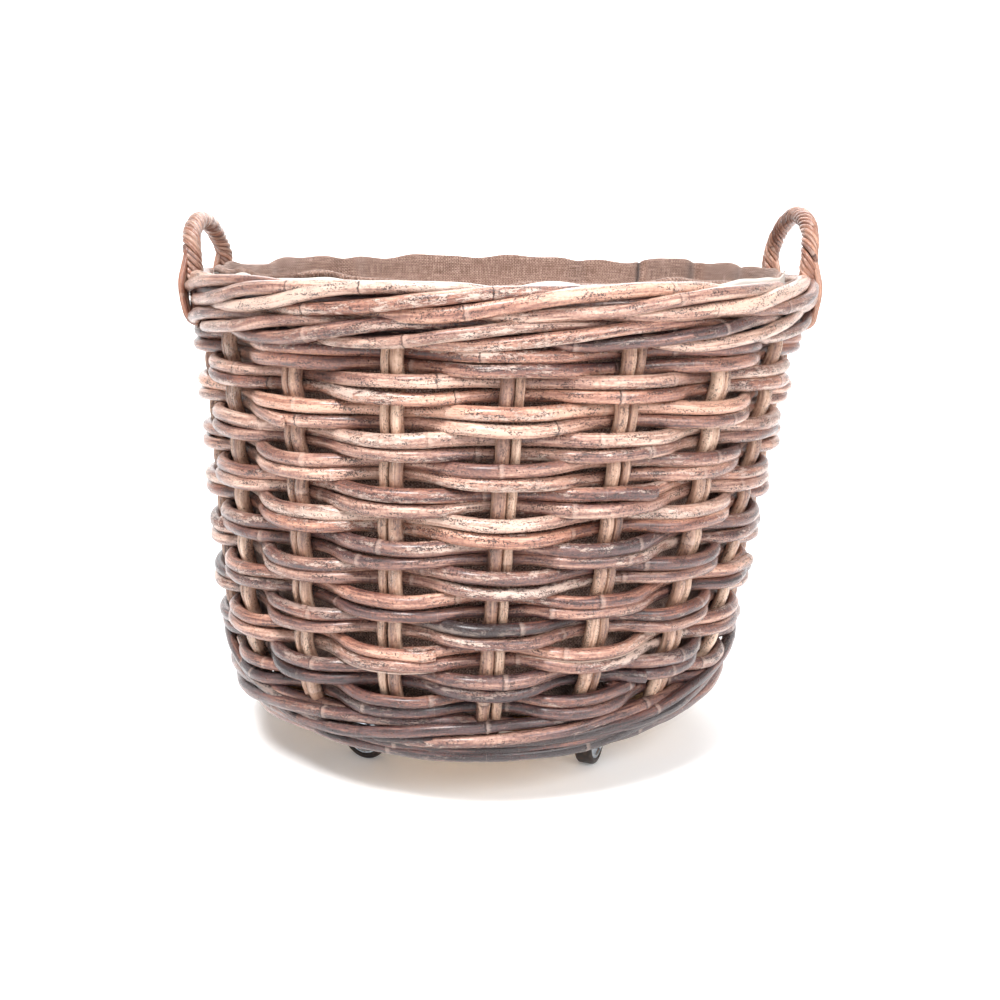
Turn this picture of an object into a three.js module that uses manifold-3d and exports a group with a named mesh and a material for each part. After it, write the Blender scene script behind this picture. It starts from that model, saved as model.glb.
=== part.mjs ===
// A round wicker log basket on four swivel castors, with a hessian liner and two roped handles.
// Millimetres, +Z up. The origin is on the floor, under the centre of the rim.
// Angles on the wall are measured from the front (-Y), positive towards +X.
import * as THREE from "three";
import { mergeVertices } from "three/addons/utils/BufferGeometryUtils.js";
import Module from "manifold-3d";

const wasm = await Module();
wasm.setup();

// Driving dimensions
const STAKES = 18; // pairs of upright rods round the wall
const ROWS = 14; // rows of weaving, each a pair of rods
const FIRST_STAKE = -17.1; // degrees
const GAP = 0.4; // air between two pieces that touch
const ROW_PITCH = 23.9;
const ROW_TOP = 415; // height of the top row's middle
const WALL_TOP_RADIUS = 291; // of the stake circle, at the top row
const WALL_TAPER = 0.103; // radius lost for each millimetre down the wall
const FOOT_TURN = 0.17; // further radius lost down the two lowest rows and the foot
const LEAN = 0.055; // sideways lean of the hand-woven wall, below the rim
const RIM_TOP = 478;
const RIM_CORE = 470; // the lean starts under this height
const THICK_ROD = 6.6; // radius of the thick rod of a stake pair
const THIN_ROD = 4.6; // radius of the thin one beside it
const ROD = 5.8; // radius of a weaving rod
const FOOT_BOTTOM = 48;
const BOARD_BOTTOM = 66;
const BOARD_THICK = 12;
const WHEEL_RADIUS = 25;
const WHEEL_SIDES = 16;
const CASTOR_CIRCLE = 172; // radius of the circle of the castors' king pins

// Dimensions that follow
const STEP = (2 * Math.PI) / STAKES;
const WEAVE_OFFSET = THICK_ROD + ROD + GAP; // a row's middle stands this far from the stake circle
const WALL_HALF = WEAVE_OFFSET + ROD; // half the thickness of the woven wall
const ROW_HALF = ROW_PITCH / 2 - GAP / 2;
const PAIR_HALF = THICK_ROD + THIN_ROD; // half the width of a stake pair
const BOARD_TOP = BOARD_BOTTOM + BOARD_THICK;
const FOOT_WALE_BOTTOM = BOARD_BOTTOM + GAP;
const FOOT_WALE_TOP = ROW_TOP - (ROWS - 0.5) * ROW_PITCH - GAP / 2;
const TOP_WALE_BOTTOM = ROW_TOP + 0.5 * ROW_PITCH + GAP / 2;
const TOP_WALE_TOP = TOP_WALE_BOTTOM + ROW_PITCH;
const BORDER_BOTTOM = TOP_WALE_TOP + GAP;
const KNEE = ROW_TOP - (ROWS - 2.5) * ROW_PITCH; // height where the wall turns in to the foot
const STAKE_BOTTOM = FOOT_WALE_BOTTOM + 3;
const STAKE_TOP = RIM_CORE - 6;
const BASE_SHIFT = leanAt(BOARD_BOTTOM);

const CANE = { stake: 0xa98865, weave: 0x9b7a62, border: 0xa5836a, foot: 0x7d6257, handle: 0xb98f6c };
const rattan = (color) => new THREE.MeshStandardMaterial({ color, roughness: 0.6 });
const hessian = new THREE.MeshStandardMaterial({ color: 0x8f7859, roughness: 0.95 });
const hem = new THREE.MeshStandardMaterial({ color: 0xe9e6df, roughness: 0.8 });
const plywood = new THREE.MeshStandardMaterial({ color: 0xc9a878, roughness: 0.7 });
const zinc = new THREE.MeshStandardMaterial({ color: 0xb8c0c8, roughness: 0.35, metalness: 1 });
const rubber = new THREE.MeshStandardMaterial({ color: 0x2a2320, roughness: 0.8 });

const basket = new THREE.Group();

function leanAt(z) {
  return LEAN * Math.min(0, z - RIM_CORE);
}

function wallRadius(z) {
  return WALL_TOP_RADIUS - WALL_TAPER * (ROW_TOP - z) - FOOT_TURN * Math.max(0, KNEE - z);
}

function stakeAngle(i) {
  return THREE.MathUtils.degToRad(FIRST_STAKE) + i * STEP;
}

function addMesh(name, geometry, material, group = basket) {
  const mesh = new THREE.Mesh(geometry, material);
  mesh.name = name;
  group.add(mesh);
  return mesh;
}

// Moves every vertex of a geometry to what place(vertex) makes of it.
function mapVertices(geometry, place) {
  const position = geometry.getAttribute("position");
  const v = new THREE.Vector3();
  for (let i = 0; i < position.count; i++) {
    v.fromBufferAttribute(position, i);
    place(v);
    position.setXYZ(i, v.x, v.y, v.z);
  }
  return geometry;
}

function leaning(geometry) {
  return mapVertices(geometry, (v) => {
    v.x += leanAt(v.z);
  });
}

// Turns a closed outline of [radius, height] points about the Z axis.
function revolve(outline, segments) {
  const points = [...outline, outline[0]].map(([r, z]) => new THREE.Vector2(r, z));
  return new THREE.LatheGeometry(points, segments).rotateX(Math.PI / 2);
}

function solid(geometry) {
  const bare = geometry.index ? geometry.toNonIndexed() : geometry.clone();
  bare.deleteAttribute("normal");
  bare.deleteAttribute("uv");
  const merged = mergeVertices(bare, 1e-3);
  return new wasm.Manifold(
    new wasm.Mesh({
      numProp: 3,
      vertProperties: merged.getAttribute("position").array,
      triVerts: new Uint32Array(merged.index.array),
    }),
  );
}

function geometryOf(manifold) {
  const mesh = manifold.getMesh();
  return new THREE.BufferGeometry()
    .setAttribute("position", new THREE.BufferAttribute(mesh.vertProperties, mesh.numProp))
    .setIndex(new THREE.BufferAttribute(mesh.triVerts, 1));
}

const cut = (body, tools) => tools.reduce((left, tool) => left.subtract(solid(tool)), solid(body));
const join = (parts) => parts.map(solid).reduce((whole, part) => whole.add(part));

// Stakes: a thick and a thin rod side by side, straight up the wall.
// The thick rod is on the left on one half of the basket, and on the right on the other.
function stakePair(i) {
  const side = i < 1 || i > STAKES / 2 ? 1 : -1;
  const thick = side * THIN_ROD;
  const thin = -side * THICK_ROD;
  const outline = new THREE.Shape();
  const meet = 0.3;
  const facing = side > 0 ? Math.PI : 0;
  outline.absarc(thick, 0, THICK_ROD, facing + meet, facing + 2 * Math.PI - meet);
  outline.absarc(thin, 0, THIN_ROD, facing + Math.PI + meet, facing + 3 * Math.PI - meet);
  const rods = new THREE.ExtrudeGeometry(outline, {
    depth: 2,
    steps: 2,
    bevelEnabled: false,
    curveSegments: 3,
  });
  const heights = [STAKE_BOTTOM, KNEE, STAKE_TOP];
  mapVertices(rods, (v) => {
    v.z = heights[Math.round(v.z)];
  });
  return ontoWall(rods, stakeAngle(i));
}

// The slot a stake pair needs, with air all round it.
function stakeSlot(i, bottom, top) {
  const width = 2 * (PAIR_HALF + GAP);
  const depth = 2 * (THICK_ROD + GAP);
  const slot = new THREE.BoxGeometry(width, depth, top - bottom);
  return ontoWall(slot.translate(0, 0, (top + bottom) / 2), stakeAngle(i));
}

// Sets upright pieces on the stake circle: x runs along the wall, y out of it.
function ontoWall(geometry, angle) {
  return mapVertices(geometry, (v) => {
    const z = v.z;
    const r = wallRadius(z) - v.y;
    v.set(
      r * Math.sin(angle) + v.x * Math.cos(angle) + leanAt(z),
      -r * Math.cos(angle) + v.x * Math.sin(angle),
      z,
    );
  });
}

function addStakes() {
  for (let i = 0; i < STAKES; i++) {
    const name = `stake_pair_${String(i + 1).padStart(2, "0")}`;
    addMesh(name, stakePair(i), rattan(CANE.stake));
  }
}

// Weaving: each row is one ring that passes in front of every other stake and behind the rest.
function wovenRow(row) {
  const z = ROW_TOP - row * ROW_PITCH;
  const shoulder = 0.55 * ROW_HALF;
  const section = [
    [ROD, shoulder],
    [0, ROW_HALF],
    [-ROD, shoulder],
    [-ROD, -shoulder],
    [0, -ROW_HALF],
    [ROD, -shoulder],
  ];
  const middle = 1000;
  const ring = revolve(section.map(([r, h]) => [middle + r, h]), 2 * STAKES);
  const halfFlat = (PAIR_HALF + 1.5) / wallRadius(z);
  return mapVertices(ring, (v) => {
    const turn = Math.atan2(v.x, -v.y) / (2 * Math.PI);
    const station = (Math.round(turn * 2 * STAKES) + 2 * STAKES) % (2 * STAKES);
    const stake = Math.floor(station / 2);
    const angle = stakeAngle(stake) + (station % 2 ? halfFlat : -halfFlat);
    const inFront = (stake + row) % 2 === 1;
    const height = z + v.z;
    const offset = Math.hypot(v.x, v.y) - middle + (inFront ? WEAVE_OFFSET : -WEAVE_OFFSET);
    const r = (wallRadius(height) + offset) / Math.cos(halfFlat);
    v.set(r * Math.sin(angle) + leanAt(height), -r * Math.cos(angle), height);
  });
}

function addRows() {
  for (let row = 0; row < ROWS; row++) {
    addMesh(`weave_row_${String(row + 1).padStart(2, "0")}`, wovenRow(row), rattan(CANE.weave));
  }
}

// A ring round the wall between two heights. Its inner and outer faces stand off the stake circle
// by the given distances at mid height, and both draw in by the crown at its top and bottom.
function wallBand(bottom, top, inner, outer, crown) {
  const low = wallRadius(bottom);
  const high = wallRadius(top);
  const middle = (bottom + top) / 2;
  return leaning(
    revolve(
      [
        [low + inner + crown, bottom],
        [low + outer - crown, bottom],
        [wallRadius(middle) + outer, middle],
        [high + outer - crown, top],
        [high + inner + crown, top],
        [wallRadius(middle) + inner, middle],
      ],
      2 * STAKES,
    ),
  );
}

const stakeHoles = (bottom, top) =>
  Array.from({ length: STAKES }, (_, i) => stakeSlot(i, bottom, top));

function addWales() {
  const over = 10; // how far the slots run past a ring's top and bottom
  const footWale = cut(
    wallBand(FOOT_WALE_BOTTOM, FOOT_WALE_TOP, -WALL_HALF, WALL_HALF, 3),
    stakeHoles(STAKE_BOTTOM - GAP, FOOT_WALE_TOP + over),
  );
  addMesh("foot_wale", geometryOf(footWale), rattan(CANE.foot));

  const topWale = cut(wallBand(TOP_WALE_BOTTOM, TOP_WALE_TOP, -WALL_HALF, WALL_HALF, 3), [
    ...stakeHoles(TOP_WALE_BOTTOM - over, TOP_WALE_TOP + over),
    ...HANDLE_SIDES.flatMap((side) => legHoles(side)),
  ]);
  addMesh("top_wale", geometryOf(topWale), rattan(CANE.border));

  const border = cut(wallBand(BORDER_BOTTOM, RIM_TOP, -10, 24, 6), [
    ...stakeHoles(BORDER_BOTTOM - over, STAKE_TOP + GAP),
    ...HANDLE_SIDES.flatMap((side) => legHoles(side)),
  ]);
  addMesh("rim_border", geometryOf(border), rattan(CANE.border));

  // The foot turns in under the wall, and its inner lip carries the base board.
  const wall = wallRadius(BOARD_BOTTOM);
  const footBorder = leaning(
    revolve(
      [
        [wall - WALL_HALF - 8, FOOT_BOTTOM + 8],
        [wall - WALL_HALF, FOOT_BOTTOM],
        [wall, FOOT_BOTTOM],
        [wall + 5, FOOT_BOTTOM + 6],
        [wall + 10, BOARD_BOTTOM - GAP],
        [wall - WALL_HALF - 8, BOARD_BOTTOM - GAP],
      ],
      2 * STAKES,
    ),
  );
  addMesh("foot_border", footBorder, rattan(CANE.foot));
}

// Handles: a bow of one thick rod, set down through the border, with strands roped round it.
const HANDLE_SIDES = [
  { name: "right", middle: THREE.MathUtils.degToRad(92.9), halfSpan: 73, top: 539 },
  { name: "left", middle: THREE.MathUtils.degToRad(271.5), halfSpan: 79, top: 527 },
];
const BOW = {
  legRadial: 298,
  topRadial: 305,
  foot: TOP_WALE_BOTTOM + 4,
  rod: 5,
  rope: 9,
};

// A point of the bow, from its place along the tangent, its height and its distance from the axis.
function bowPoint({ middle }, along, height, radial) {
  return new THREE.Vector3(
    radial * Math.sin(middle) + along * Math.cos(middle),
    -radial * Math.cos(middle) + along * Math.sin(middle),
    height,
  );
}

function bowCurve(side, foot) {
  const { legRadial, topRadial } = BOW;
  const { halfSpan, top } = side;
  const shoulder = RIM_TOP + 10;
  const rise = top - shoulder;
  const legs = [foot, RIM_TOP + 2];
  const points = legs.map((height) => bowPoint(side, -halfSpan, height, legRadial));
  for (let i = 0; i <= 8; i++) {
    const t = Math.PI * (i / 8);
    const lift = Math.sin(t);
    const radial = THREE.MathUtils.lerp(legRadial, topRadial, lift);
    points.push(bowPoint(side, -halfSpan * Math.cos(t), shoulder + rise * lift, radial));
  }
  points.push(...legs.reverse().map((height) => bowPoint(side, halfSpan, height, legRadial)));
  return new THREE.CatmullRomCurve3(points, false, "centripetal");
}

function ring(radius, sides = 8) {
  const corners = Array.from({ length: sides }, (_, i) => {
    const a = (2 * Math.PI * i) / sides;
    return new THREE.Vector2(radius * Math.cos(a), radius * Math.sin(a));
  });
  return new THREE.Shape(corners);
}

const along = (shape, path, steps) =>
  new THREE.ExtrudeGeometry(shape, { extrudePath: path, steps, bevelEnabled: false });

function legHoles(side) {
  const wide = ring((BOW.rod + GAP) / Math.cos(Math.PI / 8));
  return [-1, 1].map((end) => {
    const low = bowPoint(side, end * side.halfSpan, BOW.foot - 1, BOW.legRadial);
    const high = bowPoint(side, end * side.halfSpan, RIM_TOP + 20, BOW.legRadial);
    return along(wide, new THREE.LineCurve3(low, high), 1);
  });
}

// The strands' ends run down outside the border, and are tucked in under the top wale.
function tail(side, end) {
  const out = BOW.legRadial + 17;
  const at = (height, radial, spread) =>
    bowPoint(side, end * (side.halfSpan + spread), height, radial);
  const path = new THREE.CatmullRomCurve3([
    at(RIM_TOP + 10, BOW.legRadial + 2, -1),
    at(RIM_TOP + 4, BOW.legRadial + 13, 1),
    at(RIM_TOP - 8, out, 3),
    at(RIM_TOP - 24, out - 0.5, 5),
    at(TOP_WALE_BOTTOM + 10, out - 7, 7),
  ]);
  return along(ring(3.8, 6), path, 7);
}

function addHandles() {
  for (const side of HANDLE_SIDES) {
    const bow = bowCurve(side, BOW.foot);
    addMesh(`handle_bow_${side.name}`, along(ring(BOW.rod), bow, 18), rattan(CANE.handle));
    const rope = along(ring(BOW.rope), bow, 18);
    const tails = [-1, 1].map((end) => tail(side, end));
    const belowRim = new THREE.BoxGeometry(800, 800, 200).translate(0, 0, RIM_TOP + GAP - 100);
    const bowSpace = along(ring(BOW.rod + GAP), bow, 18);
    const wrap = solid(rope).subtract(solid(belowRim)).add(join(tails)).subtract(solid(bowSpace));
    addMesh(`handle_rope_${side.name}`, geometryOf(wrap), rattan(CANE.handle));
  }
}

// Base and liner
function addBase() {
  const radius = wallRadius(BOARD_BOTTOM) - WALL_HALF - 1;
  const disc = new THREE.CylinderGeometry(radius, radius, BOARD_THICK, 2 * STAKES);
  disc.rotateX(Math.PI / 2).translate(BASE_SHIFT, 0, BOARD_BOTTOM + BOARD_THICK / 2);
  addMesh("base_board", disc, plywood);
}

// A bag that stands in the basket: a floor and a wall, both of the given thickness.
function bag(clearance, thickness, floor, top) {
  const outside = (z) => wallRadius(z) - WALL_HALF - clearance;
  return leaning(
    revolveOpen([
      [0, floor],
      [outside(floor), floor],
      [outside(KNEE), KNEE],
      [outside(RIM_CORE), RIM_CORE],
      [outside(RIM_CORE), top],
      [outside(RIM_CORE) - thickness, top],
      [outside(RIM_CORE) - thickness, RIM_CORE],
      [outside(KNEE) - thickness, KNEE],
      [outside(floor) - thickness, floor + thickness],
      [0, floor + thickness],
    ]),
  );
}

// Turns an outline that starts and ends on the Z axis.
function revolveOpen(outline, segments = 2 * STAKES) {
  const points = outline.map(([r, z]) => new THREE.Vector2(r, z));
  return new THREE.LatheGeometry(points, segments).rotateX(Math.PI / 2);
}

function addLiner() {
  const clearance = 1.5;
  const hemThick = 1;
  const hemBottom = RIM_CORE - 40;
  const hemTop = RIM_TOP + 1;
  const outside = (z) => wallRadius(z) - WALL_HALF - clearance;
  const hemBand = leaning(
    revolve(
      [
        [outside(hemBottom) - hemThick, hemBottom],
        [outside(hemBottom), hemBottom],
        [outside(RIM_CORE), RIM_CORE],
        [outside(RIM_CORE), hemTop],
        [outside(RIM_CORE) - hemThick, hemTop],
        [outside(RIM_CORE) - hemThick, RIM_CORE],
      ],
      2 * STAKES,
    ),
  );
  addMesh("liner_hem", hemBand, hem);
  const hessianThick = 2;
  const inside = clearance + hemThick + GAP;
  addMesh("hessian_liner", bag(inside, hessianThick, BOARD_TOP + GAP, RIM_TOP + 4), hessian);
}

// Castors. In each one's own frame the king pin is the Z axis and the wheel trails along +X.
const CASTOR = {
  trail: 16,
  wheelHalf: 9,
  axleHeight: WHEEL_RADIUS * Math.cos(Math.PI / WHEEL_SIDES),
  legInner: 10.2,
  legThick: 2.5,
  crownBottom: 50.8,
  crownTop: 57.6,
  plateTop: BOARD_BOTTOM - GAP,
};
const CASTORS = [
  { name: "front_left", angle: -45, swivel: -25 },
  { name: "front_right", angle: 45, swivel: -112 },
  { name: "rear_right", angle: 135, swivel: 150 },
  { name: "rear_left", angle: -135, swivel: 60 },
];

function castorPlate() {
  const half = 30;
  const corner = 6;
  const thick = 2.5;
  const outline = new THREE.Shape();
  outline.absarc(half - corner, half - corner, corner, 0, Math.PI / 2);
  outline.absarc(corner - half, half - corner, corner, Math.PI / 2, Math.PI);
  outline.absarc(corner - half, corner - half, corner, Math.PI, 1.5 * Math.PI);
  outline.absarc(half - corner, corner - half, corner, 1.5 * Math.PI, 2 * Math.PI);
  const flat = new THREE.ExtrudeGeometry(outline, {
    depth: thick,
    bevelEnabled: false,
    curveSegments: 1,
  }).translate(0, 0, CASTOR.plateTop - thick);
  const pin = revolveOpen(
    [
      [0, CASTOR.crownBottom - 2],
      [6, CASTOR.crownBottom - 2],
      [6, CASTOR.crownBottom - GAP],
      [4.2, CASTOR.crownBottom - GAP],
      [4.2, CASTOR.crownTop + GAP],
      [15, CASTOR.crownTop + GAP],
      [17, CASTOR.plateTop - 1],
      [0, CASTOR.plateTop - 1],
    ],
    12,
  );
  return geometryOf(join([flat, pin]));
}

function castorFork() {
  const crown = revolve(
    [
      [4.2 + GAP, CASTOR.crownBottom],
      [17, CASTOR.crownBottom],
      [20, CASTOR.crownTop - 3],
      [17, CASTOR.crownTop],
      [4.2 + GAP, CASTOR.crownTop],
    ],
    12,
  );
  const foot = 8;
  const leg = new THREE.Shape();
  leg.moveTo(-12, CASTOR.crownBottom + 1);
  leg.absarc(CASTOR.trail, CASTOR.axleHeight, foot, Math.PI, 2 * Math.PI);
  leg.lineTo(CASTOR.trail + 2, CASTOR.crownBottom + 1);
  leg.lineTo(CASTOR.trail - 2, CASTOR.crownTop - 2);
  leg.lineTo(-12, CASTOR.crownTop - 2);
  const eye = new THREE.Path();
  eye.absarc(CASTOR.trail, CASTOR.axleHeight, 3 + GAP + 0.1, 0, 2 * Math.PI);
  leg.holes.push(eye);
  const legs = [-CASTOR.legInner, CASTOR.legInner + CASTOR.legThick].map((y) =>
    new THREE.ExtrudeGeometry(leg, { depth: CASTOR.legThick, bevelEnabled: false, curveSegments: 3 })
      .rotateX(Math.PI / 2)
      .translate(0, y, 0),
  );
  const bridge = new THREE.BoxGeometry(
    CASTOR.trail + 8,
    2 * (CASTOR.legInner + CASTOR.legThick) - 0.1,
    CASTOR.crownTop - CASTOR.crownBottom - 3,
  ).translate(CASTOR.trail / 2 - 6, 0, (CASTOR.crownTop + CASTOR.crownBottom) / 2 - 0.5);
  const pinSpace = new THREE.CylinderGeometry(4.2 + GAP, 4.2 + GAP, 20, 12)
    .rotateX(Math.PI / 2)
    .rotateZ(Math.PI / 2)
    .translate(0, 0, CASTOR.crownTop);
  return geometryOf(join([crown, bridge, ...legs]).subtract(solid(pinSpace)));
}

function castorAxle() {
  const shank = CASTOR.legInner + CASTOR.legThick + GAP;
  return revolveOpen(
    [
      [0, -shank - 2],
      [5, -shank - 2],
      [5, -shank],
      [3, -shank],
      [3, shank],
      [5, shank],
      [5, shank + 2],
      [0, shank + 2],
    ],
    8,
  );
}

function castorWheel() {
  const half = CASTOR.wheelHalf;
  return revolve(
    [
      [3.5, -half],
      [8, -half],
      [17, 3 - half],
      [19, -half],
      [23.5, -half],
      [WHEEL_RADIUS, 2.5 - half],
      [WHEEL_RADIUS, half - 2.5],
      [23.5, half],
      [19, half],
      [17, half - 3],
      [8, half],
      [3.5, half],
    ],
    WHEEL_SIDES,
  );
}

function addCastors() {
  for (const { name, angle, swivel } of CASTORS) {
    const theta = THREE.MathUtils.degToRad(angle);
    const castor = new THREE.Group();
    const mount = [
      CASTOR_CIRCLE * Math.sin(theta) + BASE_SHIFT,
      -CASTOR_CIRCLE * Math.cos(theta),
    ];
    castor.position.set(...mount, 0);
    castor.rotation.z = THREE.MathUtils.degToRad(swivel);
    basket.add(castor);
    const plate = addMesh(`castor_plate_${name}`, castorPlate(), zinc);
    plate.position.set(...mount, 0);
    plate.rotation.z = theta;
    addMesh(`castor_fork_${name}`, castorFork(), zinc, castor);
    for (const [part, geometry, material] of [
      ["axle", castorAxle(), zinc],
      ["wheel", castorWheel(), rubber],
    ]) {
      const mesh = addMesh(`castor_${part}_${name}`, geometry, material, castor);
      mesh.rotation.set(Math.PI / 2, 0, Math.PI / WHEEL_SIDES);
      mesh.position.set(CASTOR.trail, 0, CASTOR.axleHeight);
    }
  }
}

addBase();
addStakes();
addRows();
addWales();
addHandles();
addLiner();
addCastors();

export default basket;
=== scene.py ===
"""The looks of a round wicker log basket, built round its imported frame. +Z up, front to -Y.

Shapes are worked out in millimetres and turned into metres when a mesh is made.
Angles on the wall are measured from the front, positive towards +X.
"""

import math

import bpy
import numpy as np
from mathutils import Matrix, Vector


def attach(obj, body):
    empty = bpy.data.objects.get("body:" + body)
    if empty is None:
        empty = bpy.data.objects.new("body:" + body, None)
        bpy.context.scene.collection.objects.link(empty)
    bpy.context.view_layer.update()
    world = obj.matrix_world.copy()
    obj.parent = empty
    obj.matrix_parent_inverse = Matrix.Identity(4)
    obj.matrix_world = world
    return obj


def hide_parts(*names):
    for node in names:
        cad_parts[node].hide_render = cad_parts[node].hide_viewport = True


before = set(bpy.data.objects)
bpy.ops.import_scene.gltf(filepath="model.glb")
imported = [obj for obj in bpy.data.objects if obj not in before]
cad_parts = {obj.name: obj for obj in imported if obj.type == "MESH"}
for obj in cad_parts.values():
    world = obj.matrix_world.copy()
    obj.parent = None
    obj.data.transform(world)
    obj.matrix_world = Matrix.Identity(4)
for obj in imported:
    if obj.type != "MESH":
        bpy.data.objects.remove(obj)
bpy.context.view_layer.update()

MM = 0.001
TAU = 2 * math.pi

# The basket's dimensions, as in the frame
STAKES = 18
ROWS = 14
FIRST_STAKE = math.radians(-17.1)
STEP = TAU / STAKES
ROW_PITCH = 23.9
ROW_TOP = 415.0
WALL_TOP_RADIUS = 291.0
WALL_TAPER = 0.103
FOOT_TURN = 0.17
KNEE = ROW_TOP - (ROWS - 2.5) * ROW_PITCH
LEAN = 0.055
RIM_CORE = 470.0
RIM_TOP = 478.0
THICK_ROD = 6.6
THIN_ROD = 4.6
WHEEL_RADIUS = 25.0
AXLE_HEIGHT = WHEEL_RADIUS * math.cos(math.pi / 16)
CASTOR_CIRCLE = 172.0
BOARD_BOTTOM = 66.0
BOARD_TOP = BOARD_BOTTOM + 12.0
CASTORS = [
    ("front_left", -45, -25),
    ("front_right", 45, -112),
    ("rear_right", 135, 150),
    ("rear_left", -135, 60),
]


def wall_radius(z):
    z = np.asarray(z, float)
    return WALL_TOP_RADIUS - WALL_TAPER * (ROW_TOP - z) - FOOT_TURN * np.maximum(0, KNEE - z)


def lean_at(z):
    return LEAN * np.minimum(0, np.asarray(z, float) - RIM_CORE)


def on_wall(theta, radius, z):
    """Points at an angle, a distance from the wall's leaning axis, and a height."""
    theta, radius, z = np.broadcast_arrays(theta, radius, z)
    x = radius * np.sin(theta) + lean_at(z)
    return np.stack([x, -radius * np.cos(theta), z], axis=-1).astype(float)


def stake_angle(i):
    return FIRST_STAKE + i * STEP


def wander(rng, x, size, waves=((420, 1.0), (230, 0.7), (130, 0.5), (70, 0.25))):
    """A smooth random function of x, about as large as size."""
    total = np.zeros_like(x, dtype=float)
    for length, share in waves:
        stretch = length * rng.uniform(0.8, 1.25)
        total += share * np.sin(TAU * (x / stretch + rng.random()))
    return size * total


def unit(v):
    return v / np.maximum(np.linalg.norm(v, axis=-1, keepdims=True), 1e-9)


def sides_of(path):
    """Two directions across a path at each of its points, without twist."""
    tangent = unit(np.gradient(path, axis=0))
    start = np.array([0.0, 0, 1]) if abs(tangent[0, 2]) < 0.8 else np.array([1.0, 0, 0])
    normal = np.empty_like(path)
    across = start - tangent[0] * (start @ tangent[0])
    for i, t in enumerate(tangent):
        across = across - t * (across @ t)
        across /= np.linalg.norm(across)
        normal[i] = across
    return normal, np.cross(tangent, normal)


def resample(path, pitch):
    """The same line, with its points evenly spaced."""
    length = np.concatenate([[0], np.cumsum(np.linalg.norm(np.diff(path, axis=0), axis=1))])
    count = max(4, int(round(length[-1] / pitch)) + 1)
    at = np.linspace(0, length[-1], count)
    return np.stack([np.interp(at, length, path[:, k]) for k in range(3)], axis=1)


def smooth_line(points, pitch=4.0):
    """A Catmull-Rom curve through the points."""
    p = np.asarray(points, float)
    p = np.vstack([2 * p[0] - p[1], p, 2 * p[-1] - p[-2]])
    out = []
    for i in range(1, len(p) - 2):
        t = np.linspace(0, 1, 12, endpoint=i == len(p) - 3)[:, None]
        a, b, c, d = p[i - 1], p[i], p[i + 1], p[i + 2]
        out.append(
            0.5 * (2 * b + (c - a) * t + (2 * a - 5 * b + 4 * c - d) * t**2)
            + 0.5 * (3 * b - 3 * c + d - a) * t**3
        )
    return resample(np.vstack(out), pitch)


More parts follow.
